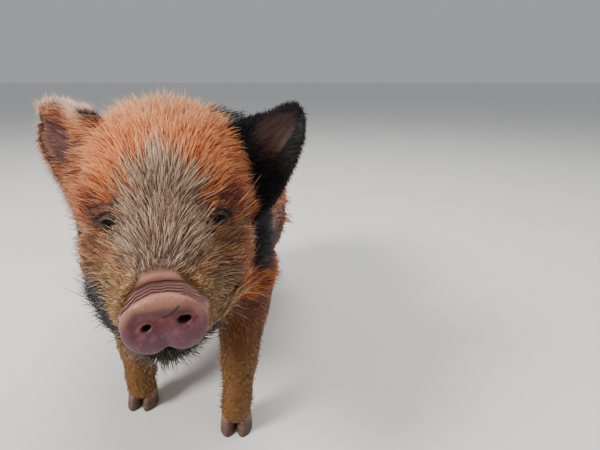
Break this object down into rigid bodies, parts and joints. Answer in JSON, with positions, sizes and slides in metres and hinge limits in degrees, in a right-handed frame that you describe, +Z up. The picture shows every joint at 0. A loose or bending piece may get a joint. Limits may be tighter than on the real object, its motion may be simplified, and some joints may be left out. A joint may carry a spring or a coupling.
{
  "type": "kunekune piglet model",
  "caption": "Still, life-size model of a young kunekune pig standing on its hooves with its head lowered and turned a little to its left.",
  "frame": {"origin": "on the floor, under the middle of the whole model's box", "axes": "+Z up, +X towards the piglet's left side, -Y towards its snout"},
  "size_m": [0.1848, 0.3976, 0.2342],
  "materials": {
    "ginger_coat": "coarse ginger hair",
    "black_coat": "coarse black hair with a soft sheen",
    "tan_coat": "short tan hair",
    "grey_skin": "dark grey skin with sparse hair",
    "pink_skin": "bare mauve pink skin, slightly moist",
    "horn": "dull brown horn",
    "eye": "wet dark brown"
  },
  "bodies": {
    "root": {"head": "ginger_coat", "jaw": "grey_skin", "neck": "ginger_coat", "torso": "ginger_coat", "tail": "ginger_coat", "snout_disc": "pink_skin", "eye_left": "eye", "eye_right": "eye", "ear_left": "black_coat", "ear_right": "ginger_coat", "foreleg_left": "tan_coat", "foreleg_right": "tan_coat", "hindleg_left": "tan_coat", "hindleg_right": "tan_coat", "hoof_foreleg_left_inner": "horn", "hoof_foreleg_left_outer": "horn", "hoof_foreleg_right_inner": "horn", "hoof_foreleg_right_outer": "horn", "hoof_hindleg_left_inner": "horn", "hoof_hindleg_left_outer": "horn", "hoof_hindleg_right_inner": "horn", "hoof_hindleg_right_outer": "horn", "dewclaw_foreleg_left_inner": "horn", "dewclaw_foreleg_left_outer": "horn", "dewclaw_foreleg_right_inner": "horn", "dewclaw_foreleg_right_outer": "horn", "dewclaw_hindleg_left_inner": "horn", "dewclaw_hindleg_left_outer": "horn", "dewclaw_hindleg_right_inner": "horn", "dewclaw_hindleg_right_outer": "horn"}
  },
  "joints": []
}
